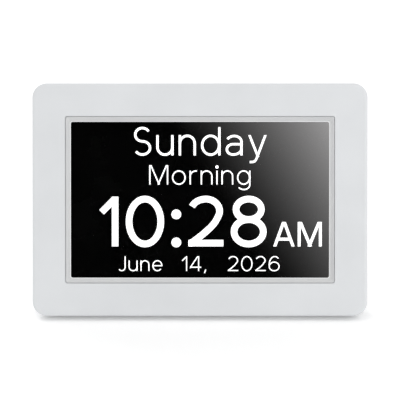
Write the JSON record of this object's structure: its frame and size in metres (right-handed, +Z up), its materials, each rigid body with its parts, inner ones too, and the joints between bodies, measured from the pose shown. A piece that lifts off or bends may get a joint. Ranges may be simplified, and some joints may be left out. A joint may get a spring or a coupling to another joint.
{
  "type": "digital day clock",
  "caption": "Digital calendar clock with a wide pale frame round its display, standing on a fold-out leg.",
  "frame": {"origin": "on the table, at the middle of the footprint of the clock as it leans back on its open leg", "axes": "+X to the right as seen from the front, +Y away from the viewer, +Z up"},
  "size_m": [0.2, 0.0572, 0.1373],
  "materials": {
    "frame_plastic": "fine satin moulding",
    "trim_plastic": "satin",
    "clear_acrylic": "polished",
    "black_foam": "closed-cell foam",
    "module_steel": "pressed sheet",
    "panel_glass": "polarised, switched on",
    "white_plastic": "moulded",
    "diffuser_film": "milky film",
    "guide_acrylic": "polished edges",
    "reflector_film": "silvered film",
    "led_board": "lacquered strip",
    "tail_film": "amber film",
    "strap_steel": "zinc plated",
    "screw_steel": "zinc plated",
    "board_green": "solder mask",
    "chip_black": "epoxy",
    "connector_ivory": "moulded",
    "switch_black": "moulded",
    "button_plastic": "satin moulding",
    "holder_black": "moulded",
    "cell_steel": "nickel plated",
    "can_aluminium": "sleeved can",
    "ferrite": "ferrite",
    "socket_black": "moulded",
    "contact_brass": "nickel on brass",
    "basket_steel": "pressed steel",
    "magnet_grey": "ferrite magnet",
    "cone_paper": "pressed paper",
    "wire_red": "sleeve",
    "wire_black": "sleeve",
    "cover_plastic": "fine textured moulding",
    "foot_rubber": "matt",
    "leg_plastic": "fine textured moulding",
    "pin_steel": "ground steel"
  },
  "bodies": {
    "clock": {"front_frame": "frame_plastic", "screen_trim": "trim_plastic", "screen_window": "clear_acrylic", "foam_gasket": "black_foam", "lcd_bezel": "module_steel", "lcd_glass": "panel_glass", "backlight_frame": "white_plastic", "diffuser_films": "diffuser_film", "light_guide": "guide_acrylic", "reflector_sheet": "reflector_film", "led_strip": "led_board", "lcd_tray": "module_steel", "lcd_tail": "tail_film", "panel_clamps": "strap_steel", "clamp_screws": "screw_steel", "main_board": "board_green", "board_chips": "chip_black", "tail_connector": "connector_ivory", "key_switches": "switch_black", "cell_holder": "holder_black", "backup_cell": "cell_steel", "capacitors": "can_aluminium", "power_coil": "ferrite", "power_socket": "socket_black", "power_contact": "contact_brass", "speaker_basket": "basket_steel", "speaker_magnet": "magnet_grey", "speaker_cone": "cone_paper", "speaker_foam": "black_foam", "speaker_connector": "connector_ivory", "red_wire": "wire_red", "black_wire": "wire_black", "board_screws": "screw_steel", "rear_cover": "cover_plastic", "cover_screws": "screw_steel", "left_foot": "foot_rubber", "right_foot": "foot_rubber", "hinge_pin": "pin_steel"},
    "leg": {"stand_leg": "leg_plastic", "leg_pad": "foot_rubber"},
    "menu_key": {"menu_button": "button_plastic", "menu_plunger": "switch_black"},
    "back_key": {"back_button": "button_plastic", "back_plunger": "switch_black"},
    "down_key": {"down_button": "button_plastic", "down_plunger": "switch_black"},
    "up_key": {"up_button": "button_plastic", "up_plunger": "switch_black"},
    "set_key": {"set_button": "button_plastic", "set_plunger": "switch_black"}
  },
  "joints": [
    {"name": "leg_hinge", "type": "hinge", "parent": "clock", "child": "leg", "pos_m": [0, 0.01258, 0.07506], "axis": [1, 0, 0], "range_deg": [-24, 0]},
    {"name": "menu_press", "type": "slide", "parent": "clock", "child": "menu_key", "axis": [0, -0.9659, 0.2588], "range_m": [0, 0.0006], "stiffness_N_per_m": 500, "springref_m": -0.001},
    {"name": "back_press", "type": "slide", "parent": "clock", "child": "back_key", "axis": [0, -0.9659, 0.2588], "range_m": [0, 0.0006], "stiffness_N_per_m": 500, "springref_m": -0.001},
    {"name": "down_press", "type": "slide", "parent": "clock", "child": "down_key", "axis": [0, -0.9659, 0.2588], "range_m": [0, 0.0006], "stiffness_N_per_m": 500, "springref_m": -0.001},
    {"name": "up_press", "type": "slide", "parent": "clock", "child": "up_key", "axis": [0, -0.9659, 0.2588], "range_m": [0, 0.0006], "stiffness_N_per_m": 500, "springref_m": -0.001},
    {"name": "set_press", "type": "slide", "parent": "clock", "child": "set_key", "axis": [0, -0.9659, 0.2588], "range_m": [0, 0.0006], "stiffness_N_per_m": 500, "springref_m": -0.001}
  ]
}
